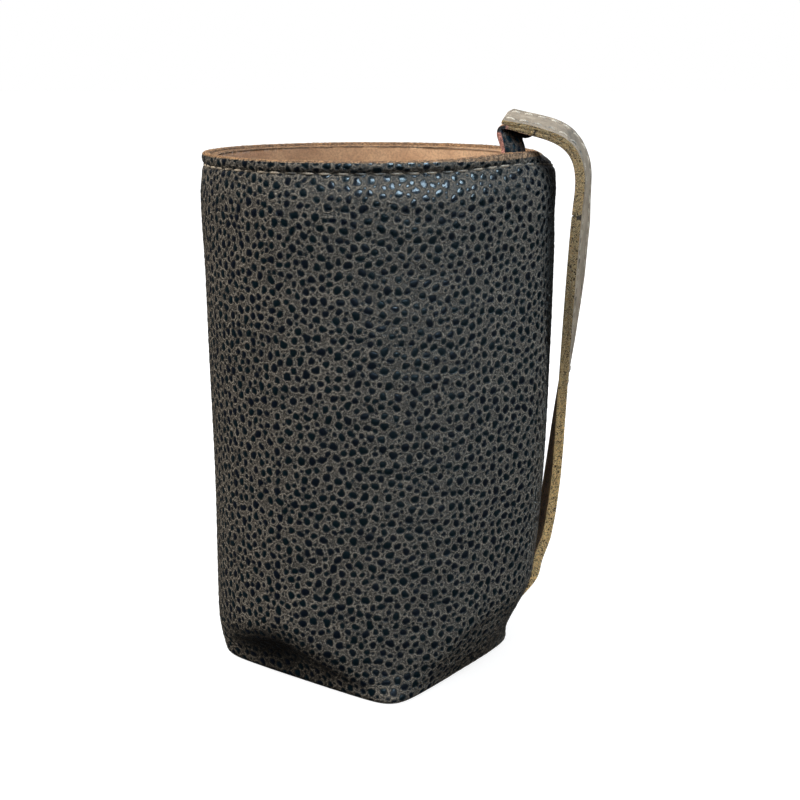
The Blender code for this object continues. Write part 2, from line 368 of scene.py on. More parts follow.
def quads(rows, columns, wrap):
    """Faces of a grid as indices of its points; the columns run round if wrap is set."""
    r, c = np.meshgrid(np.arange(rows - 1), np.arange(columns if wrap else columns - 1), indexing="ij")
    here = r * columns + c
    beside = r * columns + (c + 1) % columns
    return np.stack((here, beside, beside + columns, here + columns), axis=-1).reshape(-1, 4)


def make(name, points, faces, materials, slots=None, values=None, normals=None):
    """A mesh piece from plain arrays; faces is a list of index arrays of three or four columns."""
    mesh = bpy.data.meshes.new(name)
    if not isinstance(faces, list):
        faces = [faces]
    mesh.vertices.add(len(points))
    mesh.vertices.foreach_set("co", np.asarray(points, dtype=np.float32).ravel())
    loops = np.concatenate([f.ravel() for f in faces])
    sizes = np.concatenate([np.full(len(f), f.shape[1]) for f in faces])
    mesh.loops.add(len(loops))
    mesh.loops.foreach_set("vertex_index", loops.astype(np.int32))
    mesh.polygons.add(len(sizes))
    starts = np.concatenate(((0,), np.cumsum(sizes)[:-1]))
    mesh.polygons.foreach_set("loop_start", starts.astype(np.int32))
    if slots is not None:
        mesh.polygons.foreach_set("material_index", np.asarray(slots, dtype=np.int32))
    for material in materials:
        mesh.materials.append(material)
    mesh.update(calc_edges=True)
    mesh.validate()
    mesh.shade_smooth()
    for key, value in (values or {}).items():
        attribute = mesh.attributes.new(key, "FLOAT", "POINT")
        attribute.data.foreach_set("value", np.asarray(value, dtype=np.float32))
    if normals is not None:
        mesh.normals_split_custom_set_from_vertices(np.asarray(normals, dtype=np.float32).tolist())
    piece = bpy.data.objects.new(name, mesh)
    bpy.context.scene.collection.objects.link(piece)
    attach(piece, "root")
    return piece


# Materials


def tone(r, g, b):
    """Linear colour for a screen colour given from 0 to 255."""
    shares = (r / 255, g / 255, b / 255)
    linear = [v / 12.92 if v <= 0.04045 else ((v + 0.055) / 1.055) ** 2.4 for v in shares]
    return (*linear, 1.0)


def shade(colour, share):
    """Linear colour for a screen colour that is made darker or lighter by a share."""
    return tone(*[min(share * v, 255.0) for v in colour])


def grey(level):
    return (level, level, level, 1.0)


class Tree:
    """Short ways to fill a node tree. In add, the inputs i0 and i1 are the node's first two sockets,
    and the others go by name."""

    def __init__(self, tree):
        self.tree = tree
        self.place = None

    def add(self, kind, settings=None, **inputs):
        node = self.tree.nodes.new("ShaderNode" + kind)
        for key, value in (settings or {}).items():
            setattr(node, key, value)
        for key, value in inputs.items():
            key = int(key[1:]) if key[0] == "i" and key[1:].isdigit() else key.replace("_", " ")
            self.put(node.inputs[key], value)
        return node

    def put(self, socket, value):
        if isinstance(value, bpy.types.NodeSocket):
            self.tree.links.new(value, socket)
        else:
            socket.default_value = value

    def math(self, operation, a, b=0.0):
        return self.add("Math", {"operation": operation}, i0=a, i1=b).outputs[0]

    def times(self, a, b):
        return self.math("MULTIPLY", a, b)

    def plus(self, a, b):
        return self.math("ADD", a, b)

    def minus(self, a, b):
        return self.math("SUBTRACT", a, b)

    def mix(self, factor, a, b):
        node = self.add("Mix", {"data_type": "RGBA"})
        self.put(node.inputs[0], factor)
        self.put(node.inputs[6], a)
        self.put(node.inputs[7], b)
        return node.outputs[2]

    def cover(self, base, mask, amount, colour):
        """Lays a colour over base where mask is high, by amount at most."""
        return self.mix(self.times(mask, amount), base, colour)

    def span(self, value, low, high, to_low=0.0, to_high=1.0, linear=False):
        kind = "LINEAR" if linear else "SMOOTHSTEP"
        node = self.add("MapRange", {"interpolation_type": kind}, Value=value)
        numbers = (low, high, to_low, to_high)
        for key, number in zip(("From Min", "From Max", "To Min", "To Max"), numbers):
            node.inputs[key].default_value = number
        return node.outputs[0]

    def spot(self):
        if self.place is None:
            self.place = self.add("TexCoord").outputs["Object"]
        return self.place

    def height(self):
        return self.add("SeparateXYZ", Vector=self.spot()).outputs["Z"]

    def cells(self, where, scale):
        """Distance to the nearest border between cells."""
        node = self.add("TexVoronoi", {"feature": "DISTANCE_TO_EDGE"}, Vector=where, Scale=scale)
        return node.outputs["Distance"]

    def noise(self, scale, detail=3.0, roughness=0.5, swirl=0.0, output="Fac"):
        node = self.add("TexNoise", Vector=self.spot(), Scale=scale, Detail=detail)
        node.inputs["Roughness"].default_value = roughness
        node.inputs["Distortion"].default_value = swirl
        return node.outputs[output]

    def ramp(self, value, low, high, stops):
        """Grey level that follows stops, pairs of (place between low and high, level)."""
        node = self.add("ValToRGB", Fac=self.span(value, low, high, linear=True))
        node.color_ramp.interpolation = "EASE"
        points = node.color_ramp.elements
        while len(points) < len(stops):
            points.new(0.5)
        for point, (place, level) in zip(points, stops):
            point.position = (place - low) / (high - low)
            point.color = grey(level)
        return node.outputs["Color"]

    def value(self, name):
        return self.add("Attribute", {"attribute_name": name}).outputs["Fac"]

    def bump(self, height, distance, strength=1.0, under=None):
        """Normal for a height field; it starts from the normal under, if there is one."""
        node = self.add("Bump", Height=height, Distance=distance, Strength=strength)
        if under is not None:
            self.put(node.inputs["Normal"], under)
        return node.outputs["Normal"]


class Nodes(Tree):
    """One material, built round its Principled shader."""

    def __init__(self, name, roughness, **sockets):
        self.material = bpy.data.materials.new(name)
        self.material.use_nodes = True
        super().__init__(self.material.node_tree)
        self.shader = self.tree.nodes["Principled BSDF"]
        self.out(Roughness=roughness, **sockets)

    def out(self, **inputs):
        for key, value in inputs.items():
            self.put(self.shader.inputs[key.replace("_", " ")], value)
        return self.material


def pebbled(name, ground, ridge, pebble, other):
    """Glossy pebbles on a dull creased ground, with painted shade in its cracks, creases, moats and
    fold hollow, and painted light on its ridges. The mesh gives the distance inside a pebble's outline
    in mm, negative outside it; most spans below are places on that scale."""
    n = Nodes(name, 0.5, Specular_IOR_Level=0.17)
    inside = n.value("pebble")
    tint = n.value("tint")
    shift = n.add("VectorMath", {"operation": "SCALE"}, i0=n.noise(900.0, 2.0, output="Color"))
    shift.inputs["Scale"].default_value = 0.0008
    bent = n.add("VectorMath", {"operation": "ADD"}, i0=n.spot(), i1=shift.outputs[0]).outputs[0]
    cells = n.cells(bent, 1400.0)
    speck = n.noise(1900.0, 2.0, 0.7)
    grit = n.noise(3400.0, 2.0, 0.6)
    blotch = n.noise(480.0, 3.0, 0.6)
    patch = n.noise(60.0, 4.0, 0.6)
    ragged = n.minus(n.noise(1700.0, 3.0, 0.65), 0.5)
    edge = n.plus(inside, n.times(ragged, 0.42))
    is_pebble = n.span(edge, -0.05, 0.05)
    not_pebble = n.minus(1.0, is_pebble)
    stops = ((-0.7, 0.36), (-0.48, 0.34), (-0.30, 0.78), (-0.17, 0.06), (-0.04, 0.84), (0.3, 0.92))
    relief = n.ramp(edge, -0.8, 0.3, stops)
    open_ground = n.span(edge, -0.20, -0.36)
    crack = n.times(n.span(cells, 0.20, 0.02), n.span(edge, -0.34, -0.52))
    crack = n.times(crack, n.span(blotch, 0.35, 0.6, 0.3, 1.0))
    crease = n.times(n.span(n.value("border"), 0.24, 0.04), open_ground)
    folds = n.math("MAXIMUM", crack, n.times(crease, n.span(speck, 0.35, 0.55, 0.35, 1.0)))

    base = n.mix(n.span(patch, 0.3, 0.7), shade(ground, 0.90), shade(ground, 1.08))
    base = n.cover(base, n.span(blotch, 0.55, 0.35), 0.35, shade(ground, 0.66))
    # Painted light: the ridge round each pebble is coloured lighter, as if lit
    ring = n.times(n.span(edge, -0.56, -0.34), n.span(edge, -0.10, -0.22))
    lit = n.times(ring, n.span(n.plus(blotch, speck), 0.80, 1.15, 0.0, 0.62))
    base = n.mix(lit, base, tone(*ridge))
    base = n.cover(base, n.span(speck, 0.50, 0.34), 0.80, shade(ground, 0.36))
    base = n.cover(base, n.span(speck, 0.54, 0.66), 0.60, tone(*ridge))
    base = n.cover(base, n.span(grit, 0.50, 0.36), 0.45, shade(ground, 0.46))
    # Painted shade in the cracks and creases of the ground
    base = n.cover(base, folds, 0.80, shade(ground, 0.30))
    # Painted shade in the moat round each pebble
    moat = n.times(n.span(edge, -0.24, -0.12), not_pebble)
    base = n.cover(base, moat, 0.75, shade(ground, 0.26))
    # Painted shade darkens the ground in the hollow of the fold, where the mesh says
    base = n.cover(base, n.value("painted_fold_shade"), 0.75, shade(ground, 0.26))
    dome = n.mix(n.span(tint, 0.45, 0.65), tone(*pebble), tone(*other))
    colour = n.mix(is_pebble, base, dome)
    fuzz = n.mix(n.span(speck, 0.40, 0.60), tone(92, 70, 50), tone(166, 136, 104))
    frayed = n.times(n.minus(speck, 0.5), 0.8)
    raw = n.span(n.plus(n.value("raw"), frayed), 0.35, 0.65)
    colour = n.mix(raw, colour, fuzz)

    scuff = n.noise(800.0, 3.0, 0.6)
    dull = n.mix(n.span(speck, 0.3, 0.7), grey(0.76), grey(0.92))
    gloss = n.mix(n.span(scuff, 0.35, 0.65), grey(0.24), grey(0.36))
    gloss = n.mix(n.span(n.height(), 0.110, 0.098), gloss, grey(0.34))
    gloss = n.mix(raw, gloss, grey(0.80))
    rough = n.times(n.plus(speck, n.times(grit, 0.5)), not_pebble)
    level = n.minus(relief, n.times(folds, 0.45))
    level = n.plus(level, n.times(rough, 0.75))
    first = n.bump(level, 0.00024, 1.0)
    return n.out(
        Base_Color=colour,
        Roughness=n.mix(is_pebble, dull, gloss),
        Normal=n.bump(scuff, 0.00006, 0.35, first),
    )


def raw_edge(name, light, dark, edge_tone_and_shade, strands=0.0):
    """Cut leather edge: short curled fibres, paler low down as painted light, tinted with the edge tone
    where the mesh's tint says so, and near black as painted shade where that tint is high.
    """
    n = Nodes(name, 0.85, Specular_IOR_Level=0.2)
    curl = n.noise(1150.0, 4.0, 0.6, 2.4)
    fibre = n.noise(2800.0, 3.0, 0.7, 1.2)
    patch = n.noise(300.0, 3.0, 0.6)
    both = n.plus(n.times(curl, 0.55), n.times(fibre, 0.45))
    colour = n.mix(n.span(both, 0.465, 0.550), tone(*dark), tone(*light))
    colour = n.cover(colour, n.span(both, 0.56, 0.66), 0.6, shade(light, 1.28))
    colour = n.cover(colour, n.span(patch, 0.45, 0.75), 0.5, shade(light, 0.62))
    pale = [min(255, v * share) for v, share in zip(light, (1.62, 1.70, 1.82))]
    painted_light_low = n.mix(n.span(both, 0.445, 0.540), shade(dark, 1.2), tone(*pale))
    # Painted light: the edge is paler low down, where less light reaches it
    colour = n.mix(n.span(n.height(), 0.085, 0.050), colour, painted_light_low)
    strand = n.span(n.math("ABSOLUTE", n.minus(curl, 0.5)), 0.070, 0.020)
    colour = n.cover(colour, strand, strands, tone(244, 222, 166))
    tint = n.value("tint")
    tone_and_shade_colour = n.mix(n.span(both, 0.40, 0.62), shade(edge_tone_and_shade, 0.45), tone(*edge_tone_and_shade))
    colour = n.mix(n.span(tint, 0.0, 0.5), colour, tone_and_shade_colour)
    # A high tint turns the edge near black: painted shade
    colour = n.mix(n.span(tint, 0.55, 1.0), colour, tone(22, 16, 13))
    return n.out(Base_Color=colour, Normal=n.bump(both, 0.0005, 1.0))


def suede(name, light, dark):
    n = Nodes(name, 0.95, Specular_IOR_Level=0.12, Sheen_Weight=0.25, Sheen_Roughness=0.6)
    nap = n.noise(1900.0, 6.0, 0.75)
    patch = n.noise(90.0, 4.0, 0.6)
    colour = n.mix(n.span(patch, 0.3, 0.7), tone(*dark), tone(*light))
    colour = n.cover(colour, n.span(nap, 0.6, 0.35), 0.5, shade(dark, 0.66))
    return n.out(Base_Color=colour, Normal=n.bump(nap, 0.00018, 0.8))


def smooth_leather(name, light, dark):
    n = Nodes(name, 0.6, Specular_IOR_Level=0.3)
    patch = n.noise(160.0, 5.0, 0.65)
    grain = n.cells(n.spot(), 1900.0)
    speck = n.noise(2400.0, 4.0, 0.7)
    colour = n.mix(n.span(patch, 0.35, 0.68), tone(*dark), tone(*light))
    colour = n.cover(colour, n.span(speck, 0.6, 0.4), 0.30, shade(dark, 0.6))
    scratch = n.noise(260.0, 3.0, 0.8, 1.5)
    colour = n.cover(colour, n.span(scratch, 0.62, 0.72), 0.35, shade(dark, 0.72))
    # Painted shade: the mesh's tint darkens the face in the stitch slots and along the fold line
    colour = n.cover(colour, n.value("tint"), 0.85, shade(dark, 0.34))
    lines = n.span(grain, 0.0, 0.12)
    return n.out(
        Base_Color=colour,
        Roughness=n.span(speck, 0.3, 0.7, 0.5, 0.72),
        Normal=n.bump(n.plus(lines, n.times(speck, 0.6)), 0.00008, 0.8),
    )


def thread(name, light, dark):
    n = Nodes(name, 0.7, Specular_IOR_Level=0.3)
    fibre = n.noise(5200.0, 3.0, 0.6)
    worn = n.noise(210.0, 2.0, 0.5)
    colour = n.mix(n.span(fibre, 0.35, 0.65), tone(*dark), tone(*light))
    colour = n.mix(n.span(worn, 0.50, 0.36), colour, shade(dark, 0.55))
    return n.out(Base_Color=colour, Normal=n.bump(fibre, 0.00006, 0.8))


leather_out = pebbled("pebbled leather", (90, 84, 76), (140, 131, 118), (1, 14, 20), (3, 9, 19))
# Pebbled leather for the strap's underside and tab, its ground darker than the shell's as painted shade
# and its pebbles lighter and bluer as painted sheen
shaded_pebbled_leather = pebbled("pebbled underside with painted shade and sheen", (62, 51, 44), (92, 80, 70), (10, 30, 40), (14, 22, 34))
# Each cut edge: its light and dark colours, then its colour where the mesh tints it, which on the golden
# edge is painted shade at the joint
edge_tan = raw_edge("tan cut edge", (176, 134, 92), (88, 62, 40), (120, 90, 60))
edge_gold = raw_edge("golden cut edge", (150, 119, 74), (54, 38, 19), (56, 40, 26), 0.40)
edge_tab = raw_edge("pink cut edge with painted shade", (176, 148, 102), (58, 42, 22), (222, 156, 140), 0.2)
back_brown = raw_edge("brown raw back", (140, 100, 66), (96, 66, 44), (56, 40, 26), 0.2)
lining_suede = suede("tan suede", (205, 166, 128), (172, 130, 94))
strap_smooth = smooth_leather("smooth taupe leather", (170, 154, 134), (134, 120, 102))
thread_taupe = thread("taupe thread", (176, 164, 146), (112, 98, 80))
thread_pale = thread("pale thread", (198, 188, 171), (150, 138, 121))

# Outer shell

azimuths = np.arange(COLUMNS) * 2.0 * pi / COLUMNS
shell_rows = even_rows(section(azimuths, 0.0, no_pocket, FOLD_SOFTNESS), BASE_ROWS)
shell_rows[:, 0] += soft_form(azimuths, shell_rows[:, 1])
shell = around_axis(azimuths, shell_rows[:, 0], shell_rows[:, 1])
normal, across, along = frames(shell, True)
grain = Grain(flat(shell), flat(across), flat(along), seed=11)
pebble, height, tint, border_gap = grain.read(flat(shell))
below = rim_height(azimuths) - shell_rows[:, 1]

# Pebbles fade out at the rim, in the stitched groove and at the base
calm = ease(0.0, 0.0006, below) * (0.25 + 0.75 * ease(0.0, 0.0006, np.abs(below - STITCH_DEPTH)))
calm = calm * ease(0.0, 0.0012, shell_rows[:, 1])
shell = shell + (MM * height.reshape(calm.shape) * calm)[..., None] * normal
shell_normal = frames(shell, True)[0]
pebble = np.where(calm.ravel() < 0.5, np.minimum(pebble, -0.5 + pebble * 0.2), pebble)

# Painted shade in the hollow of the fold, and raw leather along the rim
crease = crease_height(azimuths)
painted_fold_shade = ease(crease + 0.0016, crease - 0.0016, shell_rows[:, 1]) * off_corner(azimuths)
painted_fold_shade = painted_fold_shade * (0.10 + 0.90 * mound(azimuths, DENT, radians(25.0)))
raw_width = 0.0004 + 0.0011 * mound(azimuths, radians(-38.0), radians(20.0))
raw = ease(1.25 * raw_width, 0.55 * raw_width, below) * (below < 0.002)


def rim_cap(outer, thickness, drop, azimuth):
    """Rows over a raw rim, from the last wall row across the cut edge and down its far side. Each
    step says how far inward and how far up its row lies, in mm."""
    radius = np.hypot(outer[:, 0], outer[:, 1])
    far = thickness / MM
    near_steps = ((0.04, 0.10), (0.16, 0.20), (0.40, 0.26), (0.70, 0.27), (1.0, 0.26))
    far_steps = ((far - 0.25, 0.22), (far - 0.05, 0.08), (far, -0.3), (far, -drop / MM))
    rows = []
    for inward, up in near_steps + far_steps:
        rows.append(around_axis(azimuth, radius - inward * MM, outer[:, 2] + up * MM))
    return np.array(rows)


rng = np.random.default_rng(5)
shell[-1, :, 2] -= 0.00026
cap = rim_cap(shell[-1], SHELL + 0.0002, 0.004, azimuths)
cap[1:6] += rng.normal(0.0, 0.00005, cap[1:6].shape)

# Each band of the shell: its name, first row and end row
BANDS = (
    ("shell_fold", 0, 94),
    ("shell_lower_wall", 93, 187),
    ("shell_upper_wall", 186, 280),
    ("shell_rim_band", 279, BASE_ROWS),
)
wall_values = {"pebble": pebble, "tint": tint, "border": border_gap, "painted_fold_shade": painted_fold_shade, "raw": raw}
cap_values = {"pebble": NO_PEBBLE, "tint": 0.0, "border": 1.0, "painted_fold_shade": 0.0, "raw": 0.0}
for name, low, high in BANDS:
    points = flat(shell[low:high])
    values = {key: v.reshape(BASE_ROWS, -1)[low:high].ravel() for key, v in wall_values.items()}
    shades = flat(shell_normal[low:high])
    faces = quads(high - low, COLUMNS, True)
    slots = np.zeros(len(faces))
    if high == BASE_ROWS:
        # The top band goes on over the raw rim
        rows = high - low
        points = np.concatenate((points, flat(cap)))
        every = np.concatenate((shell[low:high], cap))
        shades = flat(frames(every, True)[0])
        faces = quads(rows + len(cap), COLUMNS, True)
        slots = np.where(np.arange(len(faces)) // COLUMNS >= rows - 1, 1, 0)
        for key, plain in cap_values.items():
            values[key] = np.append(values[key], np.full(len(cap) * COLUMNS, plain))
    piece = make(name, points, faces, [leather_out, edge_tan], slots, values, shades)
    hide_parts("outer_shell")

# Flat underside, with seams from its middle to the four corners

under_azimuth = azimuths[::2]
edge_ring = shell[0, ::2]
rings = [edge_ring]
for share in np.linspace(1.0, 0.0, UNDER_STEPS)[1:-1]:
    rings.append(edge_ring * np.array((share, share, 0.0)))
under = np.array(rings)[::-1]
radius_under = np.hypot(under[..., 0], under[..., 1])
seams = []
for corner in range(4):
    off = angle_from(under_azimuth, FIRST_CORNER + corner * 0.5 * pi)
    seams.append(np.abs(np.sin(off)) + (np.cos(off) < 0))
seam_far = np.min(seams, axis=0) * radius_under
along_x = np.tile((1.0, 0.0, 0.0), (radius_under.size, 1))
along_y = np.tile((0.0, 1.0, 0.0), (radius_under.size, 1))
under_grain = Grain(flat(under), along_x, along_y, seed=23, share=2.0)
under_pebble, under_height, under_tint, under_border = under_grain.read(flat(under))
groove = peak(seam_far, 0.0, 0.0006) * ease(0.002, 0.004, radius_under)
under[..., 2] += 0.0006 * groove + 0.00030
under[..., 2] -= MM * np.clip(under_height.reshape(groove.shape), 0.0, 0.28) * (1.0 - groove)
under[-1] = edge_ring
points = np.concatenate((flat(under), [[0.0, 0.0, 0.0003]]))
ring = len(under_azimuth)
hub = len(points) - 1
fan = np.stack((np.arange(ring), np.full(ring, hub), (np.arange(ring) + 1) % ring), axis=-1)
piece = make(
    "shell_underside",
    points,
    [quads(len(under), ring, True), fan],
    [leather_out],
    None,
    {
        "pebble": np.append(under_pebble - 0.6 * groove.ravel(), -1.0),
        "tint": np.append(under_tint, 0.0),
        "border": np.append(under_border, 1.0),
    },
)
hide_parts("outer_shell")

# Lining

lined_azimuth = np.arange(LINED) * 2.0 * pi / LINED
inner_section = section(lined_azimuth, SHELL + CLEARANCE + LINING, pocket, LINED_SOFTNESS)
inner_rows = even_rows(inner_section, LINED_ROWS)
fade = ease(HEIGHT - 0.003, HEIGHT - 0.010, inner_rows[:, 1])
waves = np.sin(9.0 * lined_azimuth + inner_rows[:, 1] / 0.007) * np.sin(inner_rows[:, 1] / 0.005)
inner_rows[:, 0] += 0.00012 * fade * waves
inner = around_axis(lined_azimuth, inner_rows[:, 0], inner_rows[:, 1])
outer_section = section(lined_azimuth, SHELL + 0.00005, pocket, LINED_SOFTNESS)
outer_rows = even_rows(outer_section, LINED_ROWS)[-8:]
outer = around_axis(lined_azimuth, outer_rows[:, 0], outer_rows[:, 1])
outer[..., 2] -= 0.0008
lip = rim_cap(outer[-1], LINING + 0.00025, 0.0012, lined_azimuth)[:-1]
lip[1:6] += rng.normal(0.0, 0.00005, lip[1:6].shape)
inner[-1, :, 2] -= 0.0012
floor_rows = [inner[0] * np.array((share, share, 1.0)) for share in (0.02, 0.2, 0.4, 0.6, 0.8)]
body = np.concatenate((outer, lip, inner[::-1], np.array(floor_rows)[::-1]))
points = np.concatenate((flat(body), [[0.0, 0.0, SHELL + CLEARANCE + LINING]]))
faces = quads(len(body), LINED, True)
face_row = np.arange(len(faces)) // LINED
on_lip = (face_row >= len(outer) - 1) & (face_row < len(outer) + 6)
slots = np.append(np.where(on_lip, 1, 0), np.zeros(LINED))
last = (len(body) - 1) * LINED
here = np.arange(LINED)
fan = np.stack((last + here, last + (here + 1) % LINED, np.full(LINED, len(points) - 1)), axis=-1)
piece = make("lining_suede", points, [faces, fan], [lining_suede, edge_tan], slots)
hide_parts("lining")

# Strap


def wall_x(y, z):
    """Where the wall is in x, at a place across it and a height."""
    radius = BODY_RADIUS
    for _ in range(12):
        radius = float(wall_radius(asin(y / radius), z))
    return radius * cos(asin(y / radius))


def bezier(points, t):
    a, b, c, d = points
    return (1 - t) ** 3 * a + 3 * t * (1 - t) ** 2 * b + 3 * t * t * (1 - t) * c + t**3 * d


def near_edge(z):
    """Place of the strap's near edge across the sleeve; the strap slants as it falls."""
    return STRAP_NEAR_TOP + STRAP_SLANT * float(ease(HEIGHT, FOOT_TOP, z))


def seated(z):
    """How far the joint of the layers lies off the wall, less where the foot is pared."""
    return SKIN * (0.14 + 0.86 * float(ease(FOOT_END, FOOT_END + PARED, z))) + 0.00008


def strap_grid(columns):
    """Points across the strap at the joint of its layers, evenly spread from its top end to its foot."""
    # Control points of its three curves seen from the side, as x and z in mm
    over = ((29.0, 127.7), (40.5, 124.9), (47.6, 125.0), (46.2, 111.4))
    fall = ((46.2, 111.4), (44.9, 99.9), (44.6, 67.1), (44.2, 50.5))
    close = ((44.2, 50.5), (44.0, 43.5), (43.0, 22.0), (36.7, 14.7))
    line = []
    for points, steps in ((over, 60), (fall, 80), (close, 60)):
        line += [bezier(MM * np.array(points), step / steps) for step in range(steps)]
    rows = []
    for x, z in line:
        if z < FOOT_TOP:
            break
        near = near_edge(z)
        turn = radians(-0.6 + 15.2 * float(ease(0.036, 0.100, z)) - 2.5 * float(ease(0.104, 0.114, z)))
        turn += radians(-2.4) * (1.0 - float(ease(0.029, 0.045, x))) * float(ease(0.112, 0.120, z))
        hug = float(ease(0.030, FOOT_TOP, z))
        tilt = 0.0019 * float(ease(HEIGHT - 0.001, HEIGHT + 0.005, z))
        corner = 0.0009 * float(ease(0.034, 0.029, x))
        row = []
        for share in np.linspace(0.0, 1.0, columns):
            y = near + share * STRAP_WIDTH * cos(turn)
            free_x = x + share * STRAP_WIDTH * sin(turn) + corner * max(0.0, (share - 0.55) / 0.45) ** 2.5
            held_x = free_x if hug == 0.0 else wall_x(y, z) + seated(z)
            row.append((free_x + (held_x - free_x) * hug, y, z + share * tilt))
        rows.append(row)
    for z in np.linspace(FOOT_TOP, FOOT_END, 28):
        ys = near_edge(z) + np.linspace(0.0, 1.0, columns) * STRAP_WIDTH
        rows.append([(wall_x(y, z) + seated(z), y, z) for y in ys])
    return spread(np.array(rows), STRAP_STEP)


def spread(rows, step):
    """Rows respaced evenly by the length of their middle column."""
    travelled = travelled_along(rows[:, rows.shape[1] // 2])
    wanted = np.linspace(0.0, travelled[-1], int(travelled[-1] / step) + 1)
    made = np.empty((len(wanted),) + rows.shape[1:])
    for column in range(rows.shape[1]):
        for axis in range(3):
            made[:, column, axis] = np.interp(wanted, travelled, rows[:, column, axis])
    return made


def layer(name, grid, low, high, faces_of, grained=False, seed=0, edge_tone_and_shade=None, mark=None):
    """A strip of leather between two offsets of a grid, with rounded cut edges all round.
    faces_of gives the materials of the outer face, the cut edges and the inner face; the edge tone
    tints the cut edges row by row, near black where high as painted shade, and mark dents the outer
    face a little and darkens it as painted shade."""
    rows, columns = grid.shape[:2]
    out, cross, up = frames(grid, False)
    out = -out
    low, high = (np.broadcast_to(np.reshape(v, (-1, 1, 1)), (rows, 1, 1)) for v in (low, high))
    edge_tone_and_shade = np.zeros(rows) if edge_tone_and_shade is None else edge_tone_and_shade
    mark = np.zeros((rows, columns)) if mark is None else mark
    noise = np.random.default_rng(seed + 3)
    r, c = np.meshgrid(np.arange(rows), np.arange(columns), indexing="ij")
    uneven = 0.04 * np.sin(r / 7.1 + 1.7 * np.sin(c / 6.3))
    uneven = uneven * np.sin(c / 4.7 + 1.1 * np.sin(r / 11.0 + seed))
    top = grid + (high + MM * (uneven - 0.16 * mark)[..., None]) * out
    bottom = grid + low * out
    points = rows * columns
    pebbles, tints, borders = np.full(points, NO_PEBBLE), np.zeros(points), np.ones(points)
    if grained:
        grain = Grain(flat(bottom), flat(cross), flat(up), seed)
        pebbles, relief, tints, borders = grain.read(flat(bottom))
        from_edge = np.minimum(np.arange(columns), np.arange(columns)[::-1])
        relief = MM * relief.reshape(rows, columns) * np.clip(from_edge / 2.0, 0.0, 1.0)
        bottom = bottom - relief[..., None] * out
    base = quads(rows, columns, False)
    border = [(k, 0) for k in range(rows)] + [(rows - 1, k) for k in range(1, columns)]
    border += [(k, columns - 1) for k in range(rows - 2, -1, -1)]
    border += [(0, k) for k in range(columns - 2, 0, -1)]
    border = np.array(border)
    outward = np.zeros((rows, columns, 3))
    outward[:, 0] -= cross[:, 0]
    outward[:, -1] += cross[:, -1]
    for end, inside in ((0, 1), (-1, -2)):
        ahead = grid[end] - grid[inside]
        outward[end] += ahead / np.linalg.norm(ahead, axis=1, keepdims=True)
    at = (border[:, 0], border[:, 1])
    count = len(border)
    middle = []
    for share, push in zip((0.08, 0.26, 0.5, 0.74, 0.92), (0.04, 0.10, 0.12, 0.10, 0.04)):
        rough = noise.normal(0.0, 0.07, (count, 1))
        rough = 0.5 * rough + 0.25 * np.roll(rough, 1, axis=0) + 0.25 * np.roll(rough, -1, axis=0)
        middle.append(top[at] + (bottom[at] - top[at]) * share + outward[at] * MM * (push - 0.06 + rough))
    ids = [border[:, 0] * columns + border[:, 1]]
    ids += [2 * points + k * count + np.arange(count) for k in range(len(middle))]
    ids.append(points + ids[0])
    faces = [base[:, ::-1], base + points]
    for a, b in zip(ids[:-1], ids[1:]):
        faces.append(np.stack((b, np.roll(b, -1), np.roll(a, -1), a), axis=-1))
    slots = np.repeat((0, 2, 1), (len(base), len(base), count * (len(middle) + 1)))
    edge_tone_and_shade_rows = np.tile(edge_tone_and_shade[border[:, 0]], len(middle))
    edge_points = len(edge_tone_and_shade_rows)
    plain_top, plain_edge = np.full(points, NO_PEBBLE), np.full(edge_points, NO_PEBBLE)
    return make(
        name,
        np.concatenate([flat(top), flat(bottom)] + middle),
        np.concatenate(faces),
        list(faces_of),
        slots,
        {
            "pebble": np.concatenate((plain_top, pebbles, plain_edge)),
            "tint": np.concatenate((mark.ravel(), tints, edge_tone_and_shade_rows)),
            "border": np.concatenate((np.ones(points), borders, np.ones(edge_points))),
        },
    )


# Columns of the strap that its two rows of stitches follow, and the thread's share of their pitch
THREAD_COLUMNS = (8, 32)
THREAD_PITCH, THREAD_FILL = 0.0030, 0.68
strap = strap_grid(WIDE)
strap_out = -frames(strap, False)[0]
strap_length = travelled_along(strap[:, WIDE // 2])
total_length = strap_length[-1]
pared = ease(0.0, PARED, total_length - strap_length)
skin = SKIN * (0.82 + 0.18 * ease(0.0, 0.006, strap_length)) * (0.14 + 0.86 * pared)

# Rows where the dark inner layer starts under the strap's end, and where the brown one takes over
first = int(np.searchsorted(strap_length, TAB_START))
joint = int(np.argmin(np.abs(strap[:, 0, 2] - (HEIGHT - JOINT_DROP))))

# Slots that the thread has pulled into the outer face, and a fold line where it bends; both dent
# the face a little and are darkened there as painted shade
marks = np.zeros(strap.shape[:2])
hanging = ease(0.014, 0.022, strap_length)
for column in THREAD_COLUMNS:
    phase = (strap_length / THREAD_PITCH) % 1.0
    ends = peak(phase, 0.5 * (1.0 - THREAD_FILL), 0.09) + peak(phase, 0.5 * (1.0 + THREAD_FILL), 0.09)
    slot = ease(0.10, 0.20, phase) * ease(0.90, 0.80, phase)
    hit = ends * (1.0 - hanging) + slot * hanging
    marks += hit[:, None] * peak(np.arange(WIDE), column, 0.9)
fold_at = 0.0150 + 0.0006 * np.sin(np.arange(WIDE) / 5.0)
fold_line = peak(strap_length[:, None], fold_at, 0.0004)
marks += 0.55 * fold_line * ease(-4.0, 8.0, np.arange(WIDE))
marks = np.clip(marks, 0.0, 1.0)
